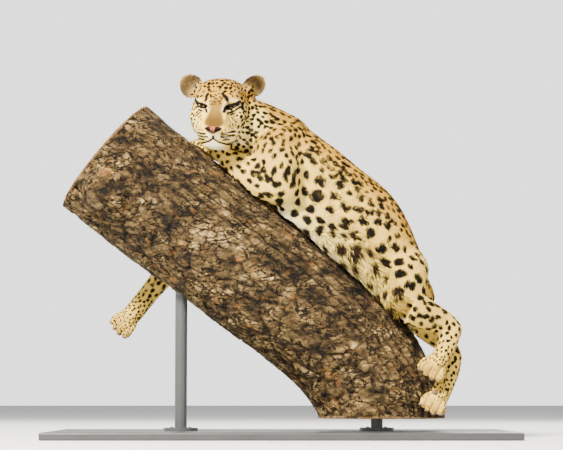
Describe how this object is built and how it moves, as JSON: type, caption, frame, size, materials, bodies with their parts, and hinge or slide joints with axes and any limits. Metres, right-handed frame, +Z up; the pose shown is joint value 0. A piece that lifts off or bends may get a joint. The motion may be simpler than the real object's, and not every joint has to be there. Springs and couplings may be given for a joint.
{
  "type": "leopard",
  "caption": "Life-size still model of a leopard draped along a sloping, sawn length of tree limb, head on its foreleg, held over a flat display base by rods.",
  "frame": {"origin": "on the ground, under the middle of the stand's base", "axes": "+Z up; +X towards the limb's lower end and the animal's rump; -Y is the side its face looks to"},
  "size_m": [1.2, 0.6, 0.9594],
  "materials": {
    "fur": "short tawny fur with black rosettes and spots, white on the belly and chin",
    "bare_skin": "bare skin of the nose and pads, fine-grained and slightly moist",
    "eye_glass": "opaque amber iris and dark pupil under a clear wet surface",
    "bark": "rough grey-brown plated bark, sawn wood at both ends",
    "stand_paint": "satin black paint"
  },
  "bodies": {
    "root": {"trunk_rump": "fur", "trunk_chest": "fur", "trunk_belly": "fur", "neck": "fur", "head": "fur", "ear_left": "fur", "ear_right": "fur", "tail_tip": "fur", "tail_middle": "fur", "tail_root": "fur", "foreleg_left_paw": "fur", "foreleg_left_forearm": "fur", "foreleg_left_upper_arm": "fur", "foreleg_right_paw": "fur", "foreleg_right_forearm": "fur", "foreleg_right_upper_arm": "fur", "hindleg_left_foot": "fur", "hindleg_left_shank": "fur", "hindleg_left_thigh": "fur", "hindleg_right_foot": "fur", "hindleg_right_shank": "fur", "hindleg_right_thigh": "fur", "nose": "bare_skin", "eye_left": "eye_glass", "eye_right": "eye_glass", "perch_limb": "bark", "stand_base": "stand_paint", "stand_rod_upper": "stand_paint", "stand_rod_lower": "stand_paint", "stand_flange_upper": "stand_paint", "stand_flange_lower": "stand_paint"}
  },
  "joints": []
}
